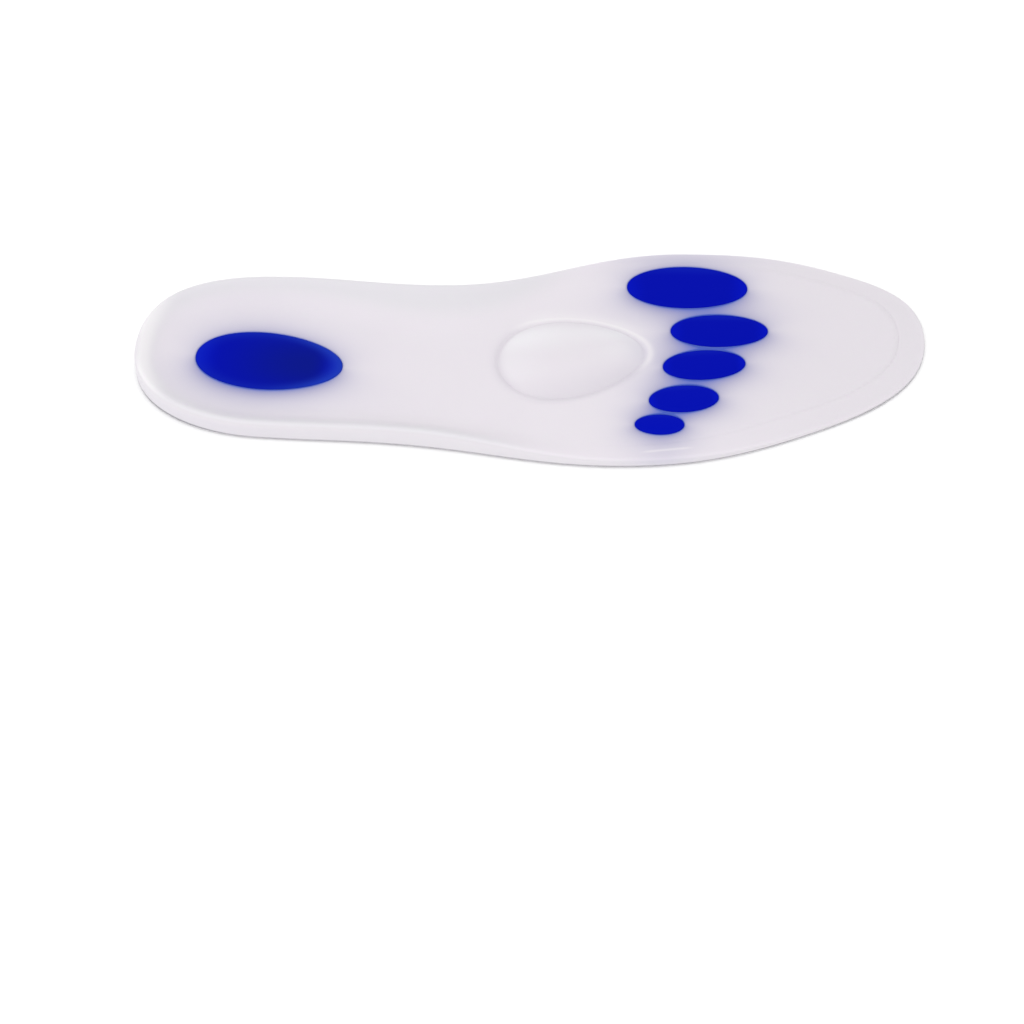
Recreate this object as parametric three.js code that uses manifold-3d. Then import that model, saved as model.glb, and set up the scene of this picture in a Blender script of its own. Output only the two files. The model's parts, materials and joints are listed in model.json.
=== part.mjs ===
// A full-length silicone shoe insole for the right foot, as it lies on a flat surface.
// One translucent moulding has a raised border round the heel and arch, a thinned border for trimming round
// the toes, and a dome in a shallow moat behind the ball of the foot. Six softer inserts lie flush in pockets
// of its top face.
// Millimetres. +X points to the toes, +Y to the arch and +Z up. The origin is the middle of the underside.
import * as THREE from "three";
import { LoftGeometry } from "three/addons/geometries/LoftGeometry.js";
import { mergeVertices } from "three/addons/utils/BufferGeometryUtils.js";
import Module from "manifold-3d";

// Driving dimensions
const LENGTH = 265;
const WIDTH = 91.5;
const UNDERSIDE_ROUND = 1.2; // radius of the edge that meets the shoe
const INSERT_DEPTH = 2.2;
const SEAM = 0.3; // clearance between an insert and its pocket
const CUTTER_MOUTH = 2; // how far the cutter of a pocket or the moat stands out above the footbed
const DOME_ROOT = 1.5; // how far the dome's own solid reaches down into the footbed
const DOME_FULLNESS = 2.3; // 2 is a paraboloid, and more is flatter on top and steeper at the edge
const MOAT_WIDTH = 1.5; // from the foot of the dome out to the footbed
const MOAT_DEPTH = 0.3;

// The outline, anticlockwise from above, with the arch on the inner side of the foot. Each row gives a place,
// the heading there in degrees, the bow of the span to the next row (its Bezier handles as a share of its
// chord) and the border: how far its crest rises above the footbed or drops below it, how far it reaches in,
// the power that its slope falls by (1 is a straight bevel, 2 a hollow) and the radius of its outer edge.
const OUTLINE = [
  { at: "heel", x: -LENGTH / 2, y: -2, heading: -90, bow: 0.38, rise: 4.4, reach: 17, fall: 2, edge: 2 },
  { at: "outer heel", x: -92, y: -33.5, heading: -5, bow: 0.38, rise: 4.2, reach: 12, fall: 2, edge: 1.8 },
  { at: "outer waist", x: -40, y: -37.1, heading: -6.5, bow: 0.38, rise: 3.9, reach: 10, fall: 2, edge: 1.8 },
  { at: "outer ball", x: 29, y: -WIDTH / 2, heading: 0, bow: 0.38, rise: -0.4, reach: 6.5, fall: 1, edge: 1.3 },
  { at: "outer toes", x: 95, y: -30.8, heading: 23, bow: 0.38, rise: -1.3, reach: 8.5, fall: 1, edge: 0.9 },
  { at: "toe tip", x: LENGTH / 2, y: 8.8, heading: 90, bow: 0.42, rise: -1.2, reach: 9.5, fall: 1, edge: 0.8 },
  { at: "inner toes", x: 104, y: 38, heading: 160, bow: 0.38, rise: -1.3, reach: 7.5, fall: 1, edge: 0.9 },
  { at: "inner ball", x: 52, y: WIDTH / 2, heading: 180, bow: 0.38, rise: -1.4, reach: 6, fall: 1, edge: 1 },
  { at: "inner waist", x: -29, y: 26.2, heading: 180, bow: 0.38, rise: 5, reach: 23, fall: 2, edge: 2 },
  { at: "inner heel", x: -89, y: 31.2, heading: 180, bow: 0.46, rise: 4.4, reach: 15, fall: 2, edge: 2 },
];

// Thickness of the footbed along the foot
const FOOTBED = [
  { at: "heel", x: -95, thick: 3.9 },
  { at: "waist", x: -30, thick: 4.6 },
  { at: "ball", x: 45, thick: 4.2 },
  { at: "toes", x: 125, thick: 3 },
];

// Features that are eggs in plan. blunt widens the rear end, and narrows the front one, by that share.
const DOME = { x: 13.2, y: -2.7, length: 49.1, width: 32.3, heading: 8, blunt: 0.19, height: 4.5 };
const INSERTS = [
  { name: "heel_insert", x: -87.7, y: -3.6, length: 49.5, width: 24.2, heading: -7, blunt: 0.1 },
  { name: "metatarsal_insert_1", x: 53.1, y: 28.9, length: 40.9, width: 18.5, heading: -0.5, blunt: 0.03 },
  { name: "metatarsal_insert_2", x: 63.2, y: 9.6, length: 32.7, width: 14, heading: 1, blunt: 0.04 },
  { name: "metatarsal_insert_3", x: 57.5, y: -5.3, length: 27.6, width: 12.7, heading: 5, blunt: 0.02 },
  { name: "metatarsal_insert_4", x: 50.2, y: -19.9, length: 23.1, width: 11.3, heading: 5, blunt: 0 },
  { name: "metatarsal_insert_5", x: 41.8, y: -30.8, length: 16.2, width: 8.4, heading: 0, blunt: -0.04 },
];

// How the lofts are divided
const SPAN_STEPS = 14; // stations in each span of the outline
const EGG_STEPS = 48;
const UNDERSIDE_ANGLES = [90, 45, 0]; // underside to wall
const EDGE_ANGLES = [0, 30, 60, 90]; // wall to crest
const SLOPE_SHARES = [0.2, 0.4, 0.6, 0.8, 1]; // crest to footbed
const CORE_SHARES = [0.35, 0.7, 1]; // border's foot to spine
const SPINE_LENGTH = 0.8; // as a share of the outline's
const INSERT_SHARES = [1, 0.6, 0.3, 0]; // rim to middle
const DOME_SHARES = [1, 0.9, 0.75, 0.55, 0.3, 0];

const SILICONE = { color: 0xe8e3ea, roughness: 0.4, metalness: 0 };
const SOFT_SILICONE = { color: 0x0812ae, roughness: 0.45, metalness: 0 };

const { degToRad, lerp, smoothstep } = THREE.MathUtils;
const wasm = await Module();
wasm.setup();

// Height of the footbed above the underside at x, easing from one row of its table to the next.
function footbed(x) {
  const next = FOOTBED.findIndex((row) => row.x >= x);
  if (next === 0) return FOOTBED[0].thick;
  if (next < 0) return FOOTBED.at(-1).thick;
  const [from, to] = [FOOTBED[next - 1], FOOTBED[next]];
  return lerp(from.thick, to.thick, smoothstep(x, from.x, to.x));
}

function heightAbove(p, rise) {
  return new THREE.Vector3(p.x, p.y, footbed(p.x) + rise);
}

// One Bezier span of the outline, which leaves and meets its rows along their headings.
function span(from, to) {
  const [start, end] = [from, to].map((row) => new THREE.Vector2(row.x, row.y));
  const bow = from.bow * start.distanceTo(end);
  const [leave, arrive] = [from, to].map((row) =>
    new THREE.Vector2(bow, 0).rotateAround(new THREE.Vector2(), degToRad(row.heading)),
  );
  return new THREE.CubicBezierCurve(start, start.clone().add(leave), end.clone().sub(arrive), end);
}

// Stations round the outline: a point, the way in from it, and the border's sizes there.
function outlineStations() {
  return OUTLINE.flatMap((from, i) => {
    const to = OUTLINE[(i + 1) % OUTLINE.length];
    const curve = span(from, to);
    return Array.from({ length: SPAN_STEPS }, (_, step) => {
      const along = step / SPAN_STEPS;
      const tangent = curve.getTangentAt(along);
      const blend = (column) => lerp(from[column], to[column], smoothstep(along, 0, 1));
      return {
        point: curve.getPointAt(along),
        inward: new THREE.Vector2(-tangent.y, tangent.x),
        rise: blend("rise"),
        reach: blend("reach"),
        fall: blend("fall"),
        edge: blend("edge"),
      };
    });
  });
}

function inset(station, distance) {
  return station.point.clone().addScaledVector(station.inward, distance);
}

// The spine is the line where the two sides of the foot meet, and a station shares its point with its mate.
function spinePoint(station, i, stations) {
  const mate = stations[(stations.length - i) % stations.length];
  const middle = station.point.clone().lerp(mate.point, 0.5);
  return middle.multiply(new THREE.Vector2(SPINE_LENGTH, 1));
}

// Rings of the moulding, from the underside's spine, round the wall and over the crest, to the spine on top.
function mouldingRings() {
  const stations = outlineStations();
  const spine = stations.map(spinePoint);
  const undersideSpine = spine.map((p) => new THREE.Vector3(p.x, p.y, 0));
  const underside = UNDERSIDE_ANGLES.map(degToRad).map((angle) =>
    stations.map((s) => {
      const p = inset(s, UNDERSIDE_ROUND * (1 - Math.cos(angle)));
      return new THREE.Vector3(p.x, p.y, UNDERSIDE_ROUND * (1 - Math.sin(angle)));
    }),
  );
  const edge = EDGE_ANGLES.map(degToRad).map((angle) =>
    stations.map((s) =>
      heightAbove(inset(s, s.edge * (1 - Math.cos(angle))), s.rise - s.edge * (1 - Math.sin(angle))),
    ),
  );
  const slope = SLOPE_SHARES.map((share) =>
    stations.map((s) => heightAbove(inset(s, lerp(s.edge, s.reach, share)), s.rise * (1 - share) ** s.fall)),
  );
  const core = CORE_SHARES.map((share) =>
    stations.map((s, i) => heightAbove(inset(s, s.reach).lerp(spine[i], share), 0)),
  );
  return [undersideSpine, ...underside, ...edge, ...slope, ...core];
}

// Ring of an egg grown outwards and scaled by share, at a height above the footbed.
function eggRing(egg, grow, share, rise) {
  return Array.from({ length: EGG_STEPS }, (_, step) => {
    const angle = (2 * Math.PI * step) / EGG_STEPS;
    const along = Math.cos(angle);
    const across = Math.sin(angle) * (1 - egg.blunt * along);
    const p = new THREE.Vector2((egg.length / 2 + grow) * along, (egg.width / 2 + grow) * across);
    p.multiplyScalar(share).rotateAround(new THREE.Vector2(), degToRad(egg.heading));
    return heightAbove(p.add(egg), rise);
  });
}

// Slab between two heights above the footbed: an insert, or the cutter of its pocket.
function slabRings(egg, grow, bottom, top) {
  const lower = [0, 1].map((share) => eggRing(egg, grow, share, bottom));
  const upper = INSERT_SHARES.map((share) => eggRing(egg, grow, share, top));
  return [...lower, ...upper];
}

function domeRings() {
  const lower = [0, 1].map((share) => eggRing(DOME, 0, share, -DOME_ROOT));
  const upper = DOME_SHARES.map((share) => {
    const rise = lerp(DOME.height, -MOAT_DEPTH, share ** DOME_FULLNESS);
    return eggRing(DOME, 0, share, rise);
  });
  return [...lower, ...upper];
}

// Cutter of the moat, which slopes up from the foot of the dome to the footbed.
function moatRings() {
  const lower = [0, 1].map((share) => eggRing(DOME, 0, share, -MOAT_DEPTH));
  const upper = [0, CUTTER_MOUTH].map((rise) => eggRing(DOME, MOAT_WIDTH, 1, rise));
  return [...lower, ...upper, eggRing(DOME, MOAT_WIDTH, 0, CUTTER_MOUTH)];
}

// Closed solid lofted through rings, the first and the last of them folded onto a line or a point.
function solid(rings) {
  const loft = new LoftGeometry(rings);
  const bare = new THREE.BufferGeometry();
  bare.setAttribute("position", loft.getAttribute("position"));
  bare.setIndex(loft.index);
  const merged = mergeVertices(bare);
  return new wasm.Manifold(
    new wasm.Mesh({
      numProp: 3,
      vertProperties: merged.getAttribute("position").array,
      triVerts: new Uint32Array(merged.index.array),
    }),
  );
}

function mesh(name, manifold, look) {
  const { vertProperties, triVerts } = manifold.getMesh();
  const geometry = new THREE.BufferGeometry();
  geometry.setAttribute("position", new THREE.BufferAttribute(vertProperties, 3));
  geometry.setIndex(new THREE.BufferAttribute(triVerts, 1));
  geometry.computeVertexNormals();
  const made = new THREE.Mesh(geometry, new THREE.MeshStandardMaterial(look));
  made.name = name;
  return made;
}

function insoleBody() {
  const moulding = solid(mouldingRings()).subtract(solid(moatRings())).add(solid(domeRings()));
  const pockets = INSERTS.map((egg) => solid(slabRings(egg, SEAM, -INSERT_DEPTH - SEAM, CUTTER_MOUTH)));
  return pockets.reduce((body, pocket) => body.subtract(pocket), moulding);
}

function insert(egg) {
  return mesh(egg.name, solid(slabRings(egg, 0, -INSERT_DEPTH, 0)), SOFT_SILICONE);
}

const insole = new THREE.Group();
insole.name = "silicone_insole";
insole.add(mesh("insole_body", insoleBody(), SILICONE), ...INSERTS.map(insert));

export default insole;
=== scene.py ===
"""Silicone shoe insole: the pale moulding and its blue inserts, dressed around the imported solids."""

import json
import math
from typing import NamedTuple

import bpy
import numpy as np
from bpy.props import FloatProperty, FloatVectorProperty, PointerProperty
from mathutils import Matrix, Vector, geometry


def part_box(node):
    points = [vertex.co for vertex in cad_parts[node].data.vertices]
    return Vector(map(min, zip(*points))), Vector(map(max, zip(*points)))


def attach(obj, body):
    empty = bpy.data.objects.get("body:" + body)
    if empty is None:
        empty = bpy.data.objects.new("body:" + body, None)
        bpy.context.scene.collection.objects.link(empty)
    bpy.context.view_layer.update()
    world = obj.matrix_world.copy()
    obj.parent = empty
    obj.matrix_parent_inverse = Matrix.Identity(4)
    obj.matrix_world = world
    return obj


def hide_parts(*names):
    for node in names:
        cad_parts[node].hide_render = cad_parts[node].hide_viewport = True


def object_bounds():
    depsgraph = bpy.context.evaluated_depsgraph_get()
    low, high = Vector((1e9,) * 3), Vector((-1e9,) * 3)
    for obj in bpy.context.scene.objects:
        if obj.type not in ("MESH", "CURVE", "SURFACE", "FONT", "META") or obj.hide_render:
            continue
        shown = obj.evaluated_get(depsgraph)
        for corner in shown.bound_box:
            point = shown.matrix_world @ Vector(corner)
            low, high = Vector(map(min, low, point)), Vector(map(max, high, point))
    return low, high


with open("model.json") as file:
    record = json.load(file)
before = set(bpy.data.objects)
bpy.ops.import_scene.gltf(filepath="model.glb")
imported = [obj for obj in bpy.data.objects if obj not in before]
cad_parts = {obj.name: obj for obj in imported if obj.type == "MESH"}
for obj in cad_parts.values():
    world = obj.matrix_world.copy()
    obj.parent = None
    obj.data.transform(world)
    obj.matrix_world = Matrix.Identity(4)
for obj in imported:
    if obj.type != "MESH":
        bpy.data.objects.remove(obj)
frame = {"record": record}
CAD_LOW, CAD_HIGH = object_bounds()

bl_info = {
    "name": "Silicone Insole",
    "version": (1, 0, 0),
    "blender": (4, 5, 0),
    "location": "View3D > Sidebar > Insole",
    "description": "Builds a moulded silicone shoe insole with soft blue inserts, and a stage to show it on",
    "category": "Add Mesh",
}

# The tables and the shapes are in millimetres. The settings and the finished meshes are in metres.
MM = 0.001
HALF_LENGTH = CAD_HIGH.x / MM
HALF_WIDTH = CAD_HIGH.y / MM
SLOT_COLOURS = {row["slot"]: (*row["base_color"][:3], 1.0) for row in frame["record"]["materials"]}


class Place(NamedTuple):
    """A place on the outline, its heading, the bow of the span after it, and the border's sizes there."""

    x: float
    y: float
    heading: float
    bow: float
    rise: float
    reach: float
    fall: float
    edge: float

    @property
    def border(self):
        """The border's sizes as a row."""
        return np.array([self.rise, self.reach, self.fall, self.edge])


class Egg(NamedTuple):
    """A feature that is an egg in plan. Its rear gains the share blunt in width, and its front loses it."""

    x: float
    y: float
    length: float
    width: float
    heading: float
    blunt: float


# The outline, anticlockwise from above: x, y, heading, bow, rise, reach, fall, edge
OUTLINE = [
    Place(-HALF_LENGTH, -2, -90, 0.38, 4.4, 17, 2, 2),  # heel
    Place(-92, -33.5, -5, 0.38, 4.2, 12, 2, 1.8),  # outer heel
    Place(-40, -37.1, -6.5, 0.38, 3.9, 10, 2, 1.8),  # outer waist
    Place(29, -HALF_WIDTH, 0, 0.38, -0.4, 6.5, 1, 1.3),  # outer ball
    Place(95, -30.8, 23, 0.38, -1.3, 8.5, 1, 0.9),  # outer toes
    Place(HALF_LENGTH, 8.8, 90, 0.42, -1.2, 9.5, 1, 0.8),  # toe tip
    Place(104, 38, 160, 0.38, -1.3, 7.5, 1, 0.9),  # inner toes
    Place(52, HALF_WIDTH, 180, 0.38, -1.4, 6, 1, 1),  # inner ball
    Place(-29, 26.2, 180, 0.38, 5, 23, 2, 2),  # inner waist
    Place(-89, 31.2, 180, 0.46, 4.4, 15, 2, 2),  # inner heel
]

# Thickness of the footbed along the foot: x, thickness
FOOTBED = [(-95, 3.9), (-30, 4.6), (45, 4.2), (125, 3)]

# Features of the footbed: x, y, length, width, heading, blunt
DOME = Egg(13.2, -2.7, 49.1, 32.3, 8, 0.19)
INSERTS = {
    "heel_insert": Egg(-87.7, -3.6, 49.5, 24.2, -7, 0.1),
    "metatarsal_insert_1": Egg(53.1, 28.9, 40.9, 18.5, -0.5, 0.03),
    "metatarsal_insert_2": Egg(63.2, 9.6, 32.7, 14, 1, 0.04),
    "metatarsal_insert_3": Egg(57.5, -5.3, 27.6, 12.7, 5, 0.02),
    "metatarsal_insert_4": Egg(50.2, -19.9, 23.1, 11.3, 5, 0),
    "metatarsal_insert_5": Egg(41.8, -30.8, 16.2, 8.4, 0, -0.04),
}

UNDERSIDE_ROUND = 1.2  # radius of the edge of the underside
CREST_ROUND = 1.8  # how far the bend over the crest spreads to each side of it
FLAT_STRIP = 0.4  # flat strip beside the underside's edge, which keeps the edge's shading tight
TRIM_WIDTH = 0.9  # width of the trim line at the foot of the toe border
TRIM_DROP = 0.6  # drop of the toe border from which the trim line has its full depth
TRIM_SIDE = 0.4  # share of that depth that it keeps along the sides of the toes
INSERT_DEPTH = 2.2
SIDE_GAP = 0.04  # what is left between an insert and its pocket
FIT_SLACK = 0.6  # how far a piece's box may differ from that of the solid it stands for

# How the meshes are divided
SPAN_STEPS = 44  # stations in each span of the outline
CURVE_SAMPLES = 200  # steps that measure a span's length
EGG_STEPS = 128
FOOTBED_GRID = 1.8
UNDERSIDE_GRID = 7
HOLLOW_END = 0.45  # share of a hollow slope that is left to the footbed's own grid
FILL_HULL = 0  # a face is filled over its whole hull, and what lies outside it is dropped
FILL_TOLERANCE = 1e-6
UNDERSIDE_ANGLES = np.radians([90, 72, 54, 36, 18, 0])  # underside to wall
WALL_SHARES = [0.3, 0.7]
EDGE_ANGLES = np.radians([0, 12, 24, 36, 48, 60, 71, 81, 90])  # wall to crest
SLOPE_SHARES = [0.02, 0.05, 0.1, 0.17, 0.26, 0.36, 0.47, 0.58, 0.69, 0.79]  # crest to the border's foot
DOME_SHARES = [0.985, 0.96, 0.925, 0.88, 0.82, 0.74, 0.65, 0.55, 0.44, 0.32, 0.2, 0.09]  # crease to top
ROUND_ANGLES = np.radians([90, 68, 45, 22, 0])  # flat face to side
INSERT_SHARES = [0.96, 0.9, 0.8, 0.66, 0.5, 0.34, 0.17]  # edge to middle

# From the footbed down to the bottom of the moat, as a share of its width
MOAT_SHARES = [1.12, 1, 0.88, 0.76, 0.64, 0.52, 0.4, 0.28, 0.16, 0.07]

# What every colour setting has
COLOUR = {"subtype": "COLOR", "size": 4, "min": 0, "max": 1}


class InsoleBodySettings(bpy.types.PropertyGroup):
    """Relief and finish of the pale moulding."""

    dome_height: FloatProperty(
        name="Dome height",
        description="Rise of the dome above the footbed",
        default=4.5 * MM,
        unit="LENGTH",
    )
    dome_fullness: FloatProperty(
        name="Dome fullness",
        description="2 is a paraboloid, and more is flatter on top",
        default=2.3,
        min=1.5,
    )
    moat_depth: FloatProperty(
        name="Moat depth",
        description="Depth of the moat round the dome",
        default=0.3 * MM,
        unit="LENGTH",
    )
    moat_width: FloatProperty(
        name="Moat width",
        description="From the foot of the dome to the footbed",
        default=1.5 * MM,
        unit="LENGTH",
    )
    trim_depth: FloatProperty(
        name="Trim depth",
        description="Depth of the trim line at the toe tip",
        default=0.25 * MM,
        unit="LENGTH",
    )
    pocket_round: FloatProperty(
        name="Pocket round",
        description="Radius of the edge of a pocket",
        default=0.25 * MM,
        unit="LENGTH",
    )
    colour: FloatVectorProperty(
        name="Silicone",
        description="Colour of the moulding",
        default=SLOT_COLOURS["silicone"],
        **COLOUR,
    )
    rim_colour: FloatVectorProperty(
        name="Rim",
        description="Colour of the thick border",
        default=(0.782, 0.764, 0.802, 1),
        **COLOUR,
    )
    # Painted shade: a darker colour for the outer wall than for the top
    wall_shade_colour: FloatVectorProperty(
        name="Wall",
        description="Colour of the outer wall",
        default=(0.718, 0.692, 0.728, 1),
        **COLOUR,
    )
    # Painted contact shadow: a dark colour at the wall's foot, where it meets the surface below
    contact_shadow_colour: FloatVectorProperty(
        name="Foot",
        description="Colour of the wall's foot, where it meets the surface below",
        default=(0.17, 0.17, 0.19, 1),
        **COLOUR,
    )
    roughness: FloatProperty(
        name="Roughness",
        description="Satin finish of the moulding",
        default=0.42,
        subtype="FACTOR",
    )
    glow_colour: FloatVectorProperty(
        name="Faint glow",
        description="Colour of the moulding where an insert shows through it faintly",
        default=(0, 0.015, 0.35, 1),
        **COLOUR,
    )
    strong_glow_colour: FloatVectorProperty(
        name="Strong glow",
        description="Colour of the moulding where an insert shows through it strongly",
        default=(0, 0.06, 0.52, 1),
        **COLOUR,
    )
    glow: FloatProperty(
        name="Glow",
        description="Share of the glow's colour beside an insert",
        default=0.34,
        subtype="FACTOR",
    )
    glow_reach: FloatProperty(
        name="Glow reach",
        description="Distance over which the glow falls away",
        default=3.3 * MM,
        unit="LENGTH",
    )


class InsoleInsertSettings(bpy.types.PropertyGroup):
    """Shape and finish of the blue inserts."""

    crown: FloatProperty(
        name="Crown",
        description="Rise of an insert's middle above its edge",
        default=0.25 * MM,
        unit="LENGTH",
    )
    edge_round: FloatProperty(
        name="Edge round",
        description="Radius of an insert's upper edge",
        default=0.25 * MM,
        unit="LENGTH",
    )
    colour: FloatVectorProperty(
        name="Soft silicone",
        description="Colour of the inserts",
        default=SLOT_COLOURS["soft_silicone"],
        **COLOUR,
    )
    roughness: FloatProperty(
        name="Roughness",
        description="Satin finish of the inserts",
        default=0.5,
        subtype="FACTOR",
    )


class InsoleStageSettings(bpy.types.PropertyGroup):
    """Floor, light and camera."""

    floor_colour: FloatVectorProperty(
        name="Floor",
        description="Colour of the floor",
        default=(0.96, 0.96, 0.96, 1),
        **COLOUR,
    )
    sky: FloatProperty(
        name="Sky",
        description="Strength of the white light all round",
        default=0.92,
        min=0,
    )
    key: FloatProperty(
        name="Key",
        description="Power of the soft lamp, in front on the left",
        default=2.2,
        min=0,
    )
    wash: FloatProperty(
        name="Wash",
        description="Strength of the light on the floor alone",
        default=0.65,
        min=0,
    )
    elevation: FloatProperty(
        name="Elevation",
        description="Angle of the view above the floor",
        default=math.radians(53.2),
        subtype="ANGLE",
    )
    distance: FloatProperty(
        name="Distance",
        description="From the camera to its aim",
        default=900 * MM,
        unit="LENGTH",
    )
    lens: FloatProperty(
        name="Lens",
        description="Focal length",
        default=98.2,
        unit="CAMERA",
    )
    aim: FloatVectorProperty(
        name="Aim",
        description="Place on the floor at the middle of the picture",
        default=(-6.6 * MM, -63.6 * MM, 0),
        subtype="TRANSLATION",
        size=3,
    )


# Shapes
def smoothstep(share):
    """A share held between 0 and 1, with a smooth start and end."""
    share = np.clip(share, 0, 1)
    return share * share * (3 - 2 * share)


def footbed(x):
    """Height of the footbed above the underside."""
    height = FOOTBED[0][1]
    for (x0, thick0), (x1, thick1) in zip(FOOTBED, FOOTBED[1:]):
        height = height + (thick1 - thick0) * smoothstep((x - x0) / (x1 - x0))
    return height


def at_height(plan, z):
    """Points of a plan at one height, or at a height each."""
    return np.column_stack([plan, np.broadcast_to(z, len(plan))])


class Outline:
    """Stations round the outline: their points, their ways in, and the border's sizes there."""

    def __init__(self):
        spans = [self.span(start, end) for start, end in zip(OUTLINE, OUTLINE[1:] + OUTLINE[:1])]
        self.points, self.inward, self.border = (np.vstack(column) for column in zip(*spans))
        self.rise, self.reach, self.fall, self.edge = self.border.T

    @staticmethod
    def span(start, end):
        """A Bezier span in steps of equal length: points, ways in, and the border's sizes eased along it."""
        first, last = np.array([start.x, start.y]), np.array([end.x, end.y])
        bow = start.bow * np.linalg.norm(last - first)
        leave, arrive = (
            bow * np.array([math.cos(turn), math.sin(turn)])
            for turn in (math.radians(start.heading), math.radians(end.heading))
        )
        corners = np.array([first, first + leave, last - arrive, last])

        def curve(t):
            weights = [(1 - t) ** 3, 3 * t * (1 - t) ** 2, 3 * t**2 * (1 - t), t**3]
            return np.column_stack(weights) @ corners

        t = np.linspace(0, 1, CURVE_SAMPLES + 1)
        steps = np.linalg.norm(np.diff(curve(t), axis=0), axis=1)
        length = np.concatenate([[0], np.cumsum(steps)])
        along = np.arange(SPAN_STEPS) / SPAN_STEPS
        t = np.interp(along * length[-1], length, t)
        slope = np.column_stack([(1 - t) ** 2, 2 * t * (1 - t), t**2]) @ np.diff(corners, axis=0)
        tangent = slope / np.linalg.norm(slope, axis=1)[:, None]
        inward = np.column_stack([-tangent[:, 1], tangent[:, 0]])
        ease = smoothstep(along)[:, None]
        border = (1 - ease) * start.border + ease * end.border
        return curve(t), inward, border

    def inset(self, distance):
        """The outline moved in by one distance, or by a distance for each station."""
        return self.points + self.inward * np.broadcast_to(distance, len(self.points))[:, None]

    def slope(self, distance, drop=0):
        """Points of the border at a distance in from each station, or at a drop below it."""
        plan = self.inset(distance)
        return at_height(plan, footbed(plan[:, 0]) + border_height(distance, self.border) - drop)

    def top(self, plan, rise=0):
        """Points of a plan laid on the top face, border and all, or at a height above it."""
        offsets = plan[:, None] - self.points
        nearest = np.square(offsets).sum(axis=2).argmin(axis=1)
        offset = offsets[np.arange(len(plan)), nearest]
        inward = self.inward[nearest]
        forward = np.column_stack([inward[:, 1], -inward[:, 0]])
        step = np.linalg.norm(np.roll(self.points, -1, axis=0) - self.points, axis=1)[nearest]
        station = nearest + (offset * forward).sum(axis=1) / step
        stations = np.arange(len(self.points))
        border = np.column_stack(
            [np.interp(station, stations, column, period=len(stations)) for column in self.border.T]
        )
        distance = (offset * inward).sum(axis=1)
        return at_height(plan, footbed(plan[:, 0]) + border_height(distance, border) + rise)


def border_height(distance, border):
    """Height of the border above the footbed at a distance in from the outline, bent over its crest."""
    rise, reach, fall, edge = border.T
    share = np.clip((distance - edge) / (reach - edge), 0, 1)
    steepness = fall * rise / (reach - edge)
    bend = np.clip(CREST_ROUND - np.abs(distance - edge), 0, None) ** 2 / (4 * CREST_ROUND)
    return rise * (1 - share) ** fall - steepness * bend


def egg_plan(egg, grow=0, share=1):
    """Loop of an egg, grown outwards and scaled, anticlockwise from above."""
    angle = 2 * math.pi * np.arange(EGG_STEPS) / EGG_STEPS
    along = np.cos(angle)
    across = np.sin(angle) * (1 - egg.blunt * along)
    u = share * (egg.length / 2 + grow) * along
    v = share * (egg.width / 2 + grow) * across
    turn = math.radians(egg.heading)
    x = egg.x + u * math.cos(turn) - v * math.sin(turn)
    y = egg.y + u * math.sin(turn) + v * math.cos(turn)
    return np.column_stack([x, y])


def inside(points, loop):
    """Which points of a plan lie inside a loop: those with an odd number of its sides to their right."""
    x, y = points[:, :1], points[:, 1:]
    (x0, y0), (x1, y1) = loop.T, np.roll(loop, -1, axis=0).T
    spans = (y0 > y) != (y1 > y)
    rise = np.where(y0 == y1, 1, y1 - y0)
    right = x < x0 + (y - y0) * (x1 - x0) / rise
    return np.count_nonzero(spans & right, axis=1) % 2 == 1


def between(points, rim, holes):
    """Which points of a plan lie inside the rim and outside every hole."""
    kept = inside(points, rim)
    for hole in holes:
        kept &= ~inside(points, hole)
    return kept


def grid(rim, holes, spacing):
    """Points of a triangular grid between a rim and its holes, clear of their edges."""
    low, high = rim.min(axis=0), rim.max(axis=0)
    columns = np.arange(low[0], high[0], spacing)
    rows = np.arange(low[1], high[1], spacing * math.sin(math.pi / 3))
    shifts = np.arange(len(rows)) % 2 * spacing / 2
    points = np.vstack(
        [np.column_stack([columns + shift, np.full(len(columns), y)]) for shift, y in zip(shifts, rows)]
    )
    points = points[between(points, rim, holes)]
    edges = np.vstack([rim, *holes])
    clearance = np.array([np.hypot(*(edges - point).T).min() for point in points])
    return points[clearance > spacing / 2]


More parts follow.
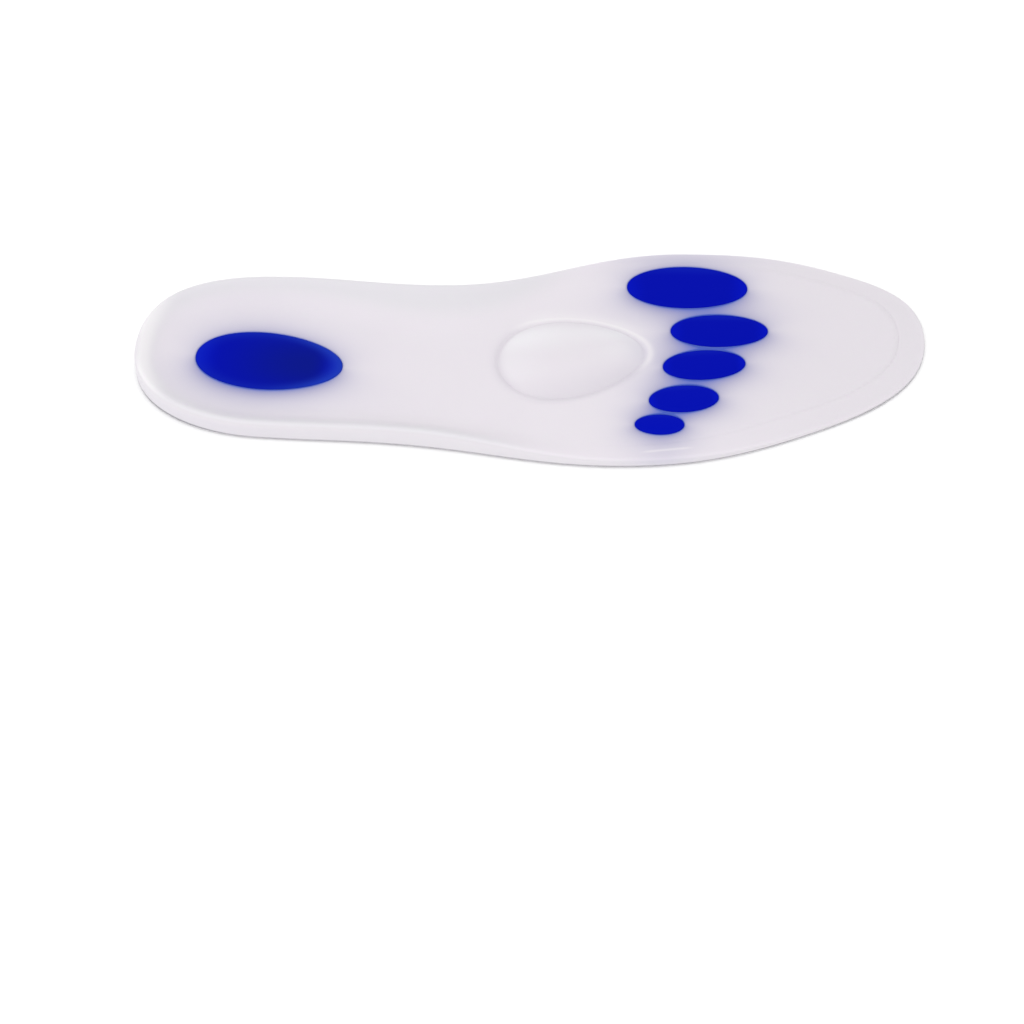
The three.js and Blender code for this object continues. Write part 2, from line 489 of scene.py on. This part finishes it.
class Skin:
    """Points and faces of one closed piece, ring by ring. Rings run anticlockwise as seen from above."""

    def __init__(self):
        self.points = np.empty((0, 3))
        self.faces = []

    def ring(self, points):
        """Adds points and returns their numbers."""
        first = len(self.points)
        self.points = np.vstack([self.points, points])
        return np.arange(first, len(self.points))

    def band(self, ring, following):
        """Quads between two rings, which face out where the rings go from the underside to the top."""
        corners = [ring, np.roll(ring, -1), np.roll(following, -1), following]
        self.faces += np.column_stack(corners).tolist()

    def stack(self, rings):
        """Adds rings with a band between each and the next, and returns the first and the last."""
        numbers = [self.ring(points) for points in rings]
        for ring, following in zip(numbers, numbers[1:]):
            self.band(ring, following)
        return numbers[0], numbers[-1]

    def close(self, ring, down=False):
        """Closes a ring with triangles to its middle."""
        middle = self.ring(self.points[ring].mean(axis=0)[None])[0]
        following = np.roll(ring, -1)
        ends = (following, ring) if down else (ring, following)
        self.faces += np.column_stack([*ends, np.full(len(ring), middle)]).tolist()

    def fill(self, rim, holes, spacing, lay, down=False):
        """Fills between a rim and its holes with even triangles. lay gives points of a plan their height."""
        loops = [self.points[ring, :2] for ring in (rim, *holes)]
        scattered = grid(loops[0], loops[1:], spacing)
        numbers = np.concatenate([rim, *holes, self.ring(lay(scattered))])
        plan = np.vstack([*loops, scattered])
        sides = []
        first = 0
        for loop in loops:
            places = np.arange(first, first + len(loop))
            sides += np.column_stack([places, np.roll(places, -1)]).tolist()
            first += len(loop)
        corners, _, triangles, origins, _, _ = geometry.delaunay_2d_cdt(
            [Vector(point) for point in plan], sides, [], FILL_HULL, FILL_TOLERANCE
        )
        triangles = np.array(triangles)
        centres = np.array(corners)[triangles].mean(axis=1)
        kept = triangles[between(centres, loops[0], loops[1:])]
        made = numbers[np.array([origin[0] for origin in origins])[kept]]
        self.faces += (made[:, ::-1] if down else made).tolist()

    def piece(self, name, material):
        """The finished mesh object, in metres."""
        mesh = bpy.data.meshes.new(name)
        mesh.from_pydata((self.points * MM).tolist(), [], self.faces)
        mesh.validate()
        mesh.shade_smooth()
        mesh.materials.append(material)
        made = bpy.data.objects.new(name, mesh)
        bpy.context.scene.collection.objects.link(made)
        return made


def dress(piece, node):
    """Puts a piece in the place of the solid that it stands for."""
    corners = np.array([vertex.co for vertex in piece.data.vertices])
    low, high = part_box(node)
    misfit = max(np.abs(corners.min(axis=0) - low).max(), np.abs(corners.max(axis=0) - high).max())
    if misfit > FIT_SLACK * MM:
        raise ValueError(f"{piece.name} is {misfit / MM:.2f} mm away from the box of {node}")
    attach(piece, "root")
    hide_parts(node)


# Finishes
GRAIN_HEIGHT = 0.1  # height of the mould's grain
GRAIN_DETAIL = 3  # levels of noise in it


class Value:
    """A socket of a finish's node tree. Arithmetic on it adds the Math nodes that work it out."""

    def __init__(self, finish, socket):
        self.finish = finish
        self.socket = socket

    def math(self, operation, *terms):
        return self.finish.node("Math", {"operation": operation}, dict(enumerate(terms)))

    def __add__(self, other):
        return self.math("ADD", self, other)

    __radd__ = __add__

    def __sub__(self, other):
        return self.math("SUBTRACT", self, other)

    def __rsub__(self, other):
        return self.math("SUBTRACT", other, self)

    def __mul__(self, other):
        return self.math("MULTIPLY", self, other)

    __rmul__ = __mul__

    def __truediv__(self, other):
        return self.math("DIVIDE", self, other)

    def __rtruediv__(self, other):
        return self.math("DIVIDE", other, self)

    def root(self):
        return self.math("SQRT", self)

    def exp(self):
        return self.math("EXPONENT", self)

    def at_least(self, low):
        return self.math("MAXIMUM", self, low)

    def at_most(self, high):
        return self.math("MINIMUM", self, high)

    def ease(self, start, end):
        """0 up to the start and 1 from the end on, with a smooth change between. It may run either way."""
        ends = {"Value": self, "From Min": start, "From Max": end}
        return self.finish.node("MapRange", {"interpolation_type": "SMOOTHSTEP"}, ends)

    def bell(self, middle, width):
        """1 in the middle, with a smooth fall to 0 on both sides of it."""
        offset = (self - middle) / width
        return (0 - offset * offset).exp()


class Finish:
    """A new material and its node tree."""

    def __init__(self, name):
        self.material = bpy.data.materials.new(name)
        self.material.use_nodes = True
        self.tree = self.material.node_tree
        self.tree.nodes.clear()
        self.place = self.node("TexCoord", {}, {}, "Object")

    def node(self, kind, settings, inputs, output=0):
        """Adds a node, sets it up, gives its sockets values or links, and returns one of its outputs."""
        node = self.tree.nodes.new("ShaderNode" + kind)
        for name, setting in settings.items():
            setattr(node, name, setting)
        for name, given in inputs.items():
            if isinstance(given, Value):
                self.tree.links.new(given.socket, node.inputs[name])
            else:
                node.inputs[name].default_value = given
        return Value(self, node.outputs[output]) if node.outputs else None

    def coordinates(self):
        """The place on the piece, as x, y and z in millimetres."""
        return [self.node("SeparateXYZ", {}, {"Vector": self.place}, axis) / MM for axis in "XYZ"]

    def upright(self):
        """How far the surface faces up: 1 on top, 0 on a wall and -1 underneath."""
        normal = self.node("TexCoord", {}, {}, "Normal")
        return self.node("SeparateXYZ", {}, {"Vector": normal}, "Z")

    def clouds(self, size, detail=2):
        """Soft noise about zero, with features of a size in millimetres."""
        noise = {"Vector": self.place, "Scale": 1 / (size * MM), "Detail": detail}
        return self.node("TexNoise", {}, noise) - 0.5

    def grain(self, size, strength):
        """A normal with the fine grain of the mould, of a size in millimetres."""
        height = self.clouds(size, GRAIN_DETAIL)
        return self.node("Bump", {}, {"Strength": strength, "Distance": GRAIN_HEIGHT * MM, "Height": height})

    def mix(self, share, low, high):
        """A colour between two others."""
        return self.node("Mix", {"data_type": "RGBA"}, {0: share, 6: low, 7: high}, 2)

    def shine(self, **inputs):
        """Ends the tree in one Principled shader and returns the material."""
        named = {name.replace("_", " "): given for name, given in inputs.items()}
        shader = self.node("BsdfPrincipled", {}, named)
        self.node("OutputMaterial", {}, {"Surface": shader})
        return self.material


def egg_place(x, y, egg):
    """Place in an egg's own frame, along it and across it, as shares of its half length and half width."""
    turn = math.radians(egg.heading)
    right, far = x - egg.x, y - egg.y
    along = (right * math.cos(turn) + far * math.sin(turn)) / (egg.length / 2)
    across = (far * math.cos(turn) - right * math.sin(turn)) / (egg.width / 2)
    if egg.blunt:
        across = across / (1 - egg.blunt * along.at_least(-1).at_most(1))
    return along, across


def egg_field(x, y, egg):
    """Distance outside an egg in millimetres, and how far the way out leans along the egg and across it."""
    along, across = egg_place(x, y, egg)
    along_slope, across_slope = along / (egg.length / 2), across / (egg.width / 2)
    scale = (along * along + across * across).root()
    slope = (along_slope * along_slope + across_slope * across_slope).root()
    return (scale * (scale - 1) / slope).at_least(0), along_slope / slope, across_slope / slope


# The glow of the inserts through the moulding. A span is the pair of values between which a tone changes.
EDGE_GLOW = 0.7  # share of the glow's colour that is added right beside an insert
EDGE_GLOW_REACH = 0.25
FAR_GLOW = 0.11  # share that spreads far over the footbed
FAR_GLOW_REACH = 0.35  # for each millimetre of an insert's width
FAR_GLOW_SPAN = (5.2, 7)  # heights between which it fades on the border
OUTER_GLOW = 0.18  # how much more shows on an insert's outer side, for each root of its width
FRONT_GLOW = -0.36  # how much more shows at its front end
REAR_GLOW = -0.33  # and at its rear end
RIM_GLOW = 0.1  # share that gathers at the rim of the moulding beside an insert that is close to it
RIM_GLOW_REACH = 0.6  # along the rim, for each millimetre of an insert's length
RIM_GLOW_WIDTH = 4  # from the insert out to where it is strongest
RIM_INSERTS = {"metatarsal_insert_1": 1, "metatarsal_insert_5": -1}  # such inserts and their sides
MOST_GLOW = 0.93
UNDERSIDE_GLOW = 0.3  # share of the glow that comes through to the underside
UNDERSIDE_GLOW_SPAN = (0.5, 2.5)  # heights between which it grows to the whole glow


def insert_glow(x, y, z, settings):
    """Share of the glow's colour near the inserts."""
    glow = 0
    low = 1 - z.ease(*FAR_GLOW_SPAN)
    for egg in INSERTS.values():
        distance, forward, inner = egg_field(x, y, egg)
        wide = settings.glow * (distance / (-settings.glow_reach / MM)).exp()
        tight = EDGE_GLOW * (distance / -EDGE_GLOW_REACH).exp()
        far = FAR_GLOW * low * (distance / (-FAR_GLOW_REACH * egg.width)).exp()
        outer = OUTER_GLOW * math.sqrt(egg.width) * (0 - inner).at_least(0)
        ends = FRONT_GLOW * forward.at_least(0) + REAR_GLOW * (0 - forward).at_least(0)
        glow = glow + (wide + far) * (1 + outer + ends) + tight * (1 + outer)
    for node, side in RIM_INSERTS.items():
        egg = INSERTS[node]
        edge = abs(egg.y) + egg.width / 2
        outward = (side * y).ease(edge, edge + RIM_GLOW_WIDTH)
        glow = glow + RIM_GLOW * x.bell(egg.x, RIM_GLOW_REACH * egg.length) * outward
    return glow.at_most(MOST_GLOW) * (UNDERSIDE_GLOW + (1 - UNDERSIDE_GLOW) * z.ease(*UNDERSIDE_GLOW_SPAN))


class Patch(NamedTuple):
    """A soft patch of painted light on the dome: its strength, and its spans along the dome and across it.
    """

    strength: float
    along: tuple
    across: tuple

    def tone(self, along, across):
        return self.strength * along.ease(*self.along) * across.ease(*self.across)


# The dome's painted light and shade, placed along it and across it in shares of its half length and half
# width, and by its scale, which is 1 on its outline. A bell is a middle and a width.
DOME_SCALES = (1, 1.1)  # span over which the dome's own tone ends
INNER_BELL = (0.6, 0.42)  # painted light on its inner side, across the dome
INNER_DIP = 0.4  # what that light loses from the rear to the middle
INNER_DIP_SPAN = (-0.7, 0.1)
INNER_GAIN = 0.25  # and gains towards the front
INNER_GAIN_SPAN = (0.2, 0.7)
REAR_LIGHT = Patch(0.35, along=(-0.2, -0.95), across=(-0.7, -0.2))
FRONT_LIGHT = Patch(0.4, along=(0.1, 0.8), across=(-0.6, 0.1))
LIGHT_SCALES = (0.94, 1)  # span over which the painted light ends
OUTER_DUSK = 0.6  # painted shade on its outer side
OUTER_DUSK_LEAN = 0.1  # how far that side leans to the front
OUTER_DUSK_SPAN = (0.3, 0.95)
OUTER_DUSK_SCALES = (1.05, 1.2)
TIP_DUSK = 0.07
TIP_DUSK_SPAN = (0.5, 1)
CREASE_DUSK = 0.7  # painted shade in the crease behind the dome
CREASE_BELL = (1.02, 0.08)
CREASE_SPAN = (-1, -0.4)
LIP_BELL = (1.085, 0.05)  # painted highlight on the lip round its front and inner side
LIP_WAY = Vector((0.75, 0.85))  # the way that the lip faces, along and across
LIP_SPAN = (0, 0.6)
LIP_STRENGTH = 0.65
LIP_GAIN = 0.25  # what the lip gains on the inner side
LIP_GAIN_SPAN = (0, 0.8)
HALO = Patch(0.45, along=(-0.8, -0.2), across=(0.2, 0.9))  # the softer painted light outside the lip
HALO_BELL = (1.1, 0.16)
HALO_SCALES = (0.98, 1.05)


def painted_dome_light(along, across, scale):
    """Share of the painted light on the dome's inner side and at its ends."""
    inner = across.bell(*INNER_BELL)
    level = 1 - INNER_DIP * along.ease(*INNER_DIP_SPAN) + INNER_GAIN * along.ease(*INNER_GAIN_SPAN)
    ends = REAR_LIGHT.tone(along, across).at_least(FRONT_LIGHT.tone(along, across))
    return (inner * level).at_least(ends) * (1 - scale.ease(*LIGHT_SCALES))


def painted_dome_shade(along, across, scale):
    """Share of the painted shade on the dome's outer side, at its tip and in the crease behind it."""
    outer = OUTER_DUSK * (OUTER_DUSK_LEAN * along - across).ease(*OUTER_DUSK_SPAN)
    tip = TIP_DUSK * along.ease(*TIP_DUSK_SPAN) * (1 - scale.ease(*DOME_SCALES))
    crease = CREASE_DUSK * scale.bell(*CREASE_BELL) * (1 - along.ease(*CREASE_SPAN))
    return (outer * (1 - scale.ease(*OUTER_DUSK_SCALES))).at_least(tip).at_least(crease)


def painted_dome_highlight(along, across, scale):
    """Share of the painted highlight on the lip round the dome and of the softer painted light outside it.
    """
    edge = scale.bell(*LIP_BELL) * (LIP_WAY.x * along + LIP_WAY.y * across).ease(*LIP_SPAN)
    level = LIP_STRENGTH + LIP_GAIN * across.ease(*LIP_GAIN_SPAN)
    halo = HALO.tone(along, across) * scale.bell(*HALO_BELL) * scale.ease(*HALO_SCALES)
    return (edge * level).at_least(halo)


# A painted highlight: the thin bright line where the raised border ends beside the outer ball
STREAK_START = Vector((34, -42.4))
STREAK_END = Vector((54, -40))
STREAK_WIDTH = 0.45
STREAK_FADE = 5  # length over which it fades at each end
STREAK_STRENGTH = 0.5


def painted_border_highlight(x, y):
    """Share of the painted highlight where the outer border ends."""
    run = STREAK_END - STREAK_START
    beside = y - STREAK_START.y - (x - STREAK_START.x) * (run.y / run.x)
    start = x.ease(STREAK_START.x, STREAK_START.x + STREAK_FADE)
    end = x.ease(STREAK_END.x - STREAK_FADE, STREAK_END.x)
    return STREAK_STRENGTH * start * (1 - end) * beside.bell(0, STREAK_WIDTH)


# What both kinds of silicone share
SILICONE_IOR = 1.41
HAZE_ROUGHNESS = 0.08  # how far the haze changes the roughness

# The moulding's tones, painted light and shade among them. Spans are along the foot, or heights, or how far
# the surface faces up.
HAZE_SIZE = 34
HAZE_SPAN = (-0.3, 0.3)
HAZE_SHADES = (1.015, 1.035)  # what multiplies the colour, from the thinnest haze to the thickest
THIN_SHADE = 0.99  # and towards the toes and on the dome
TOE_SPAN = (50, 100)  # where the footbed thins towards the toes
DOME_THIN = 0.6  # how far the dome takes that darker colour
RIM_SPAN = (5, 7.5)  # heights over which the border turns to the colour of its rim
CREST_SPAN = (5.8, 7.4)  # heights over which painted light comes onto the crest behind the heel
CREST_START_SPAN = (-HALF_LENGTH, -130)
CREST_END_SPAN = (-129, -119)
SIDE_SPAN = (-0.95, -0.4)  # from the underside to the wall
WALL_SHADE_SPAN = (0.35, 0.98)  # from the wall to the top, over which the wall's painted shade ends
CONTACT_SHADOW_SPAN = (0.4, 1.6)  # heights over which the painted contact shadow at the wall's foot ends
HEEL_CONTACT_SHADOW = 0.5  # how much higher the painted contact shadow reaches at the heel
HEEL_CONTACT_SHADOW_SPAN = (-125, -90)
GLOW_SPAN = (0.3, 0.85)  # from a faint glow to a strong one
CREST_LIGHT_TONE = (0.9, 0.88, 0.9, 1)  # painted light on the crest behind the heel
DOME_LIGHT_TONE = (0.9, 0.885, 0.92, 1)  # painted light on the dome
DOME_SHADE_TONE = (0.74, 0.7, 0.76, 1)  # painted shade on the dome
HIGHLIGHT_TONE = (0.9, 0.87, 0.9, 1)  # painted highlight on the lip round the dome and on the line beside the outer ball


def silicone(settings):
    """Pale translucent silicone, tinted by the blue inserts near them, with light and shade painted into its
    colour: on the dome and the heel's crest, beside the outer ball, on the wall and at its foot.
    """
    finish = Finish("silicone")
    x, y, z = finish.coordinates()
    along, across = egg_place(x, y, DOME)
    scale = (along * along + across * across).root()
    dome = 1 - scale.ease(*DOME_SCALES)
    haze = finish.clouds(HAZE_SIZE)
    pale = Vector(settings.colour)
    milky = finish.mix(haze.ease(*HAZE_SPAN), *(pale * shade for shade in HAZE_SHADES))
    thin = finish.mix(x.ease(*TOE_SPAN).at_least(DOME_THIN * dome), milky, pale * THIN_SHADE)
    thick = finish.mix(z.ease(*RIM_SPAN) * (1 - dome), thin, settings.rim_colour)
    # Painted light on the crest behind the heel
    back = x.ease(*CREST_START_SPAN) * (1 - x.ease(*CREST_END_SPAN))
    clear = finish.mix(z.ease(*CREST_SPAN) * back, thick, CREST_LIGHT_TONE)
    # Painted light and painted shade on the dome
    lit = finish.mix(painted_dome_light(along, across, scale), clear, DOME_LIGHT_TONE)
    dome_shaded = finish.mix(painted_dome_shade(along, across, scale), lit, DOME_SHADE_TONE)
    up = finish.upright()
    side = up.ease(*SIDE_SPAN)
    # Painted shade: the outer wall darker than the top
    wall_shaded = finish.mix(side * (1 - up.ease(*WALL_SHADE_SPAN)), dome_shaded, settings.wall_shade_colour)
    # Painted contact shadow at the foot of the wall
    above = z - HEEL_CONTACT_SHADOW * (1 - x.ease(*HEEL_CONTACT_SHADOW_SPAN))
    contact_shadowed = finish.mix(side * (1 - above.ease(*CONTACT_SHADOW_SPAN)), wall_shaded, settings.contact_shadow_colour)
    glow = insert_glow(x, y, z, settings)
    glow_colour = finish.mix(glow.ease(*GLOW_SPAN), settings.glow_colour, settings.strong_glow_colour)
    tinted = finish.mix(glow, contact_shadowed, glow_colour)
    # Painted highlights on the dome's lip and beside the outer ball
    highlighted = painted_dome_highlight(along, across, scale).at_least(painted_border_highlight(x, y))
    return finish.shine(
        Base_Color=finish.mix(highlighted, tinted, HIGHLIGHT_TONE),
        Roughness=settings.roughness + HAZE_ROUGHNESS * haze,
        IOR=SILICONE_IOR,
        Specular_IOR_Level=0.4,
        Subsurface_Weight=0.25,
        Subsurface_Radius=(1, 0.9, 1),
        Subsurface_Scale=3 * MM,
        Normal=finish.grain(size=0.9, strength=0.12),
    )


# The inserts' tones, placed as the dome's are. A shade multiplies the red, green and blue of their colour.
INSERT_HAZE_SIZE = 12
THIN_INSERT = 14  # width below which an insert takes on the shade of its ends all over
END_SHADE = (1, 1.4, 1.25)
END_SPAN = (0.4, 1.1)
END_HAZE = 0.4  # how far the haze moves that span
ARCH_EDGE_SHADE = (4, 3, 1.08)  # painted highlight along the edge on the arch's side
ARCH_EDGE_SPAN = (0.5, 1)
ARCH_EDGE_STRENGTH = 0.6
LARGE_INSERT = 24  # width above which an insert shows its depth, with a dark core and a light rim
CORE_SHADE = (3, 1.8, 0.6)
CORE_REAR_SPAN = (-1, 0.55)
CORE_FRONT_SPAN = (0.55, 1.02)
CORE_SIDE_LOSS = 0.6  # share of the core that is lost at the sides
LIGHT_RIM_SHADE = (14, 9, 1.12)
LIGHT_RIM_SPAN = (0.5, 1.05)  # of the square of the scale
LIGHT_RIM_REAR = 0.2  # share of the rim that is left at the rear
LIGHT_RIM_FRONT_SPAN = (-0.2, 1)


def multiplied(colour, shade):
    """A colour with its red, green and blue multiplied."""
    return (*(part * share for part, share in zip(colour, shade)), 1)


def soft_silicone(name, egg, settings):
    """Deep blue silicone, lighter at an insert's ends, with a dark core towards the front of a large one,
    and a painted highlight along its edge on the arch's side.
    """
    finish = Finish(name)
    x, y, _ = finish.coordinates()
    along, across = egg_place(x, y, egg)
    haze = finish.clouds(INSERT_HAZE_SIZE)
    blue = settings.colour
    thin = max(0, 1 - egg.width / THIN_INSERT)
    ends = (along * along + END_HAZE * haze).ease(*END_SPAN).at_least(thin)
    colour = finish.mix(ends, blue, multiplied(blue, END_SHADE))
    # Painted highlight along the edge on the arch's side
    arch_edge_highlight = ARCH_EDGE_STRENGTH * across.ease(*ARCH_EDGE_SPAN)
    colour = finish.mix(arch_edge_highlight, colour, multiplied(blue, ARCH_EDGE_SHADE))
    if egg.width > LARGE_INSERT:
        core = along.ease(*CORE_REAR_SPAN) * (1 - along.ease(*CORE_FRONT_SPAN))
        core = core * (1 - CORE_SIDE_LOSS * across * across)
        colour = finish.mix(core, colour, multiplied(blue, CORE_SHADE))
        rim = (along * along + across * across).ease(*LIGHT_RIM_SPAN)
        rim = rim * (LIGHT_RIM_REAR + (1 - LIGHT_RIM_REAR) * along.ease(*LIGHT_RIM_FRONT_SPAN))
        colour = finish.mix(rim, colour, multiplied(blue, LIGHT_RIM_SHADE))
    return finish.shine(
        Base_Color=colour,
        Roughness=settings.roughness + HAZE_ROUGHNESS * haze,
        IOR=SILICONE_IOR,
        Specular_IOR_Level=0.02,
        Normal=finish.grain(size=0.7, strength=0.1),
    )


# Pieces
def border_rings(outline, trim_depth):
    """Rings from the underside, round the outer wall and over the crest, to the foot of the border."""
    underside = [at_height(outline.inset(UNDERSIDE_ROUND + FLAT_STRIP), 0)]
    for angle in UNDERSIDE_ANGLES:
        plan = outline.inset(UNDERSIDE_ROUND * (1 - math.cos(angle)))
        underside.append(at_height(plan, UNDERSIDE_ROUND * (1 - math.sin(angle))))
    edge = []
    for angle in EDGE_ANGLES:
        drop = outline.edge * (1 - math.sin(angle))
        edge.append(outline.slope(outline.edge * (1 - math.cos(angle)), drop))
    wall = [(1 - share) * underside[-1] + share * edge[0] for share in WALL_SHARES]
    end = outline.edge + (outline.reach - outline.edge) * (1 - HOLLOW_END * (outline.fall - 1))
    slope = [outline.slope(outline.edge + share * (end - outline.edge)) for share in SLOPE_SHARES]
    depth = trim_depth * smoothstep(-outline.rise / TRIM_DROP)
    trim = depth * (TRIM_SIDE + (1 - TRIM_SIDE) * np.abs(outline.inward[:, 0]))
    foot = [
        outline.slope(end - TRIM_WIDTH),
        outline.slope(end - TRIM_WIDTH / 2, trim),
        outline.slope(end),
    ]
    return underside + wall + edge + slope + foot


def dome_rings(outline, settings):
    """Rings from the footbed, down into the moat and up the dome."""
    depth, width = settings.moat_depth / MM, settings.moat_width / MM
    height = settings.dome_height / MM
    moat = [
        outline.top(egg_plan(DOME, share * width), depth * (smoothstep(share) - 1))
        for share in MOAT_SHARES
    ]
    rise = [
        outline.top(egg_plan(DOME, 0, share), height - (height + depth) * share**settings.dome_fullness)
        for share in (1, *DOME_SHARES)
    ]
    return moat + rise


def pocket_rings(outline, egg, radius):
    """Rings from the footbed over a rounded edge and down the side of a pocket."""
    rings = []
    for angle in ROUND_ANGLES:
        plan = egg_plan(egg, SIDE_GAP + radius * (1 - math.cos(angle)))
        rings.append(outline.top(plan, -radius * (1 - math.sin(angle))))
    return rings + [outline.top(egg_plan(egg, SIDE_GAP), -INSERT_DEPTH - SIDE_GAP)]


def insert_rings(outline, egg, settings):
    """Rings from an insert's base, up its side and over its rounded edge, to the middle of its top."""
    radius, crown = settings.edge_round / MM, settings.crown / MM
    rings = [outline.top(egg_plan(egg), -INSERT_DEPTH)]
    for angle in ROUND_ANGLES[::-1]:
        plan = egg_plan(egg, -radius * (1 - math.cos(angle)))
        rings.append(outline.top(plan, -radius * (1 - math.sin(angle))))
    for share in INSERT_SHARES:
        rings.append(outline.top(egg_plan(egg, -radius, share), crown * (1 - share**2)))
    return rings


class InsoleBodyOperator(bpy.types.Operator):
    """Builds the pale moulding with its border, dome, trim line and pockets"""

    bl_idname = "insole.body"
    bl_label = "Build Insole Body"

    def execute(self, context):
        settings = context.scene.insole_body
        outline = Outline()
        skin = Skin()
        underside, foot = skin.stack(border_rings(outline, settings.trim_depth / MM))
        skin.fill(underside, [], UNDERSIDE_GRID, lambda plan: at_height(plan, 0), down=True)
        lip, top = skin.stack(dome_rings(outline, settings))
        skin.close(top)
        rims = [lip]
        for egg in INSERTS.values():
            rim, floor = skin.stack(pocket_rings(outline, egg, settings.pocket_round / MM))
            skin.close(floor)
            rims.append(rim)
        skin.fill(foot, rims, FOOTBED_GRID, outline.top)
        dress(skin.piece("silicone_moulding", silicone(settings)), "insole_body")
        return {"FINISHED"}


class InsoleInsertsOperator(bpy.types.Operator):
    """Builds the blue inserts under the heel and the ball of the foot"""

    bl_idname = "insole.inserts"
    bl_label = "Build Insole Inserts"

    def execute(self, context):
        settings = context.scene.insole_inserts
        outline = Outline()
        for node, egg in INSERTS.items():
            skin = Skin()
            base, top = skin.stack(insert_rings(outline, egg, settings))
            skin.close(base, down=True)
            skin.close(top)
            name = "soft_" + node
            dress(skin.piece(name, soft_silicone(name, egg, settings)), node)
        return {"FINISHED"}


# The stage, in metres
FLOOR_SIZE = 20
FLOOR_DROP = 0.05 * MM  # keeps the floor clear of the flat underside
LAMP_PLACE = Vector((-0.6, -0.82, 0.65))
LAMP_SIZE = 0.8
WHITE = (1, 1, 1, 1)


class InsoleStageOperator(bpy.types.Operator):
    """Adds the pale floor, the soft studio light and the camera"""

    bl_idname = "insole.stage"
    bl_label = "Build Insole Stage"

    def execute(self, context):
        settings = context.scene.insole_stage
        floor = self.add_floor(context.scene, settings)
        self.add_light(context.scene, settings)
        self.add_wash(context.scene, settings, floor)
        self.add_camera(context.scene, settings)
        return {"FINISHED"}

    @staticmethod
    def add_floor(scene, settings):
        half = FLOOR_SIZE / 2
        corners = [(-half, -half, 0), (half, -half, 0), (half, half, 0), (-half, half, 0)]
        mesh = bpy.data.meshes.new("floor")
        mesh.from_pydata(corners, [], [(0, 1, 2, 3)])
        matt = Finish("floor").shine(
            Base_Color=settings.floor_colour,
            Roughness=0.9,
            Specular_IOR_Level=0,
        )
        mesh.materials.append(matt)
        floor = bpy.data.objects.new("floor", mesh)
        floor.location.z = -FLOOR_DROP
        scene.collection.objects.link(floor)
        return floor

    @staticmethod
    def add_light(scene, settings):
        world = bpy.data.worlds.new("studio")
        world.use_nodes = True
        sky = world.node_tree.nodes["Background"]
        sky.inputs["Color"].default_value = WHITE
        sky.inputs["Strength"].default_value = settings.sky
        scene.world = world
        scene.view_settings.view_transform = "Standard"
        lamp = bpy.data.lights.new("key", "AREA")
        lamp.size = LAMP_SIZE
        lamp.energy = settings.key
        key = bpy.data.objects.new("key", lamp)
        key.location = LAMP_PLACE
        key.rotation_euler = (-LAMP_PLACE).to_track_quat("-Z", "Y").to_euler()
        scene.collection.objects.link(key)

    @staticmethod
    def add_wash(scene, settings, floor):
        """Light straight down on the floor alone, so that the floor stays white close to the insole."""
        lamp = bpy.data.lights.new("wash", "SUN")
        lamp.energy = settings.wash
        wash = bpy.data.objects.new("wash", lamp)
        scene.collection.objects.link(wash)
        lit = bpy.data.collections.new("washed")
        lit.objects.link(floor)
        wash.light_linking.receiver_collection = lit

    @staticmethod
    def add_camera(scene, settings):
        lens = bpy.data.cameras.new("camera")
        lens.lens = settings.lens
        camera = bpy.data.objects.new("camera", lens)
        back = Vector((0, -math.cos(settings.elevation), math.sin(settings.elevation)))
        camera.location = Vector(settings.aim) + settings.distance * back
        camera.rotation_euler = (math.pi / 2 - settings.elevation, 0, 0)
        scene.collection.objects.link(camera)
        scene.camera = camera


class InsolePanel(bpy.types.Panel):
    """Sizes, finishes and building of the insole"""

    bl_idname = "VIEW3D_PT_insole"
    bl_label = "Silicone Insole"
    bl_space_type = "VIEW_3D"
    bl_region_type = "UI"
    bl_category = "Insole"

    def draw(self, context):
        for settings, operator in SECTIONS.items():
            group = getattr(context.scene, settings)
            box = self.layout.box()
            for name in group.bl_rna.properties.keys():
                if name not in ("rna_type", "name"):
                    box.prop(group, name)
            box.operator(operator.bl_idname)


# Scene settings, and the operator that uses each, in building order
SECTIONS = {
    "insole_stage": InsoleStageOperator,
    "insole_body": InsoleBodyOperator,
    "insole_inserts": InsoleInsertsOperator,
}
SETTINGS = {
    "insole_stage": InsoleStageSettings,
    "insole_body": InsoleBodySettings,
    "insole_inserts": InsoleInsertSettings,
}
CLASSES = (*SETTINGS.values(), *SECTIONS.values(), InsolePanel)


def register():
    for item in CLASSES:
        bpy.utils.register_class(item)
    for name, group in SETTINGS.items():
        setattr(bpy.types.Scene, name, PointerProperty(type=group))


def unregister():
    for name in SETTINGS:
        delattr(bpy.types.Scene, name)
    for item in reversed(CLASSES):
        bpy.utils.unregister_class(item)


def main():
    register()
    bpy.ops.insole.stage()
    bpy.ops.insole.body()
    bpy.ops.insole.inserts()


if __name__ == "__main__":
    main()
